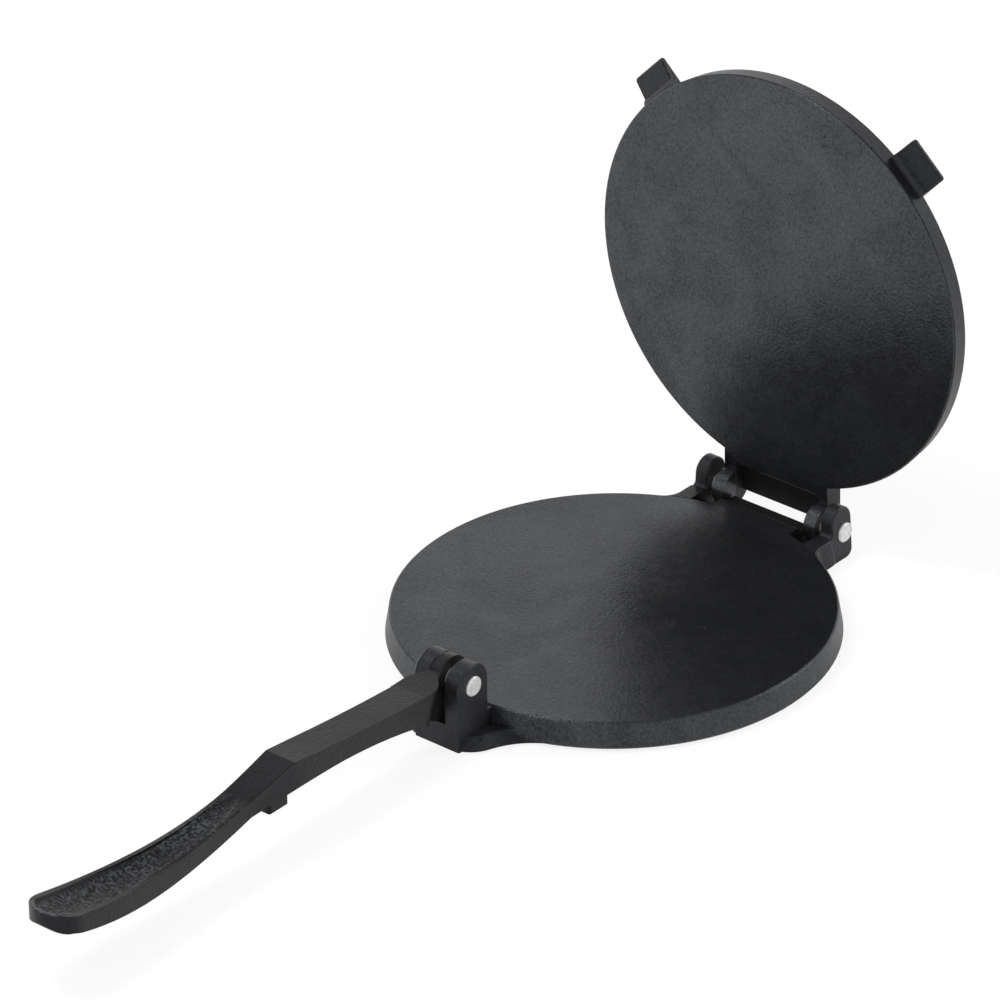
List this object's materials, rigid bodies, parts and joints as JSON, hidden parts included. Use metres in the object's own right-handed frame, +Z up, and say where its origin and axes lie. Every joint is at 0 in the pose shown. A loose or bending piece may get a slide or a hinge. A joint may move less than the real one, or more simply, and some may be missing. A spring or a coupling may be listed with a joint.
{
  "type": "tortilla press",
  "caption": "Cast-iron hand press: a hinged round plate closes on a round base and a pivoting lever swings over to squeeze dough flat.",
  "frame": {"origin": "on the table, under the centre of the base disc", "axes": "+X along the hinge pins, +Y from the disc's centre to the hinge, +Z up; the lever lies along -Y"},
  "size_m": [0.2072, 0.5102, 0.2308],
  "materials": {
    "base_plate": "seasoned black cast iron, matt, fine sand-cast grain",
    "upper_plate": "seasoned black cast iron, matt, fine sand-cast grain",
    "lever": "seasoned black cast iron, matt, coarser grain in the grip's trough",
    "hinge_pin_right": "bright cut steel",
    "hinge_pin_left": "bright cut steel",
    "lever_pin": "bright cut steel"
  },
  "bodies": {
    "base": {"base_plate": "base_plate", "hinge_pin_right": "hinge_pin_right", "hinge_pin_left": "hinge_pin_left", "lever_pin": "lever_pin"},
    "plate": {"upper_plate": "upper_plate"},
    "handle": {"lever": "lever"}
  },
  "joints": [
    {"name": "plate_hinge", "type": "hinge", "parent": "base", "child": "plate", "pos_m": [0, 0.1168, 0.01395], "axis": [1, 0, 0], "range_deg": [0, 90]},
    {"name": "lever_pivot", "type": "hinge", "parent": "base", "child": "handle", "pos_m": [0, -0.1136, 0.0302], "axis": [-1, 0, 0], "range_deg": [0, 135]}
  ]
}
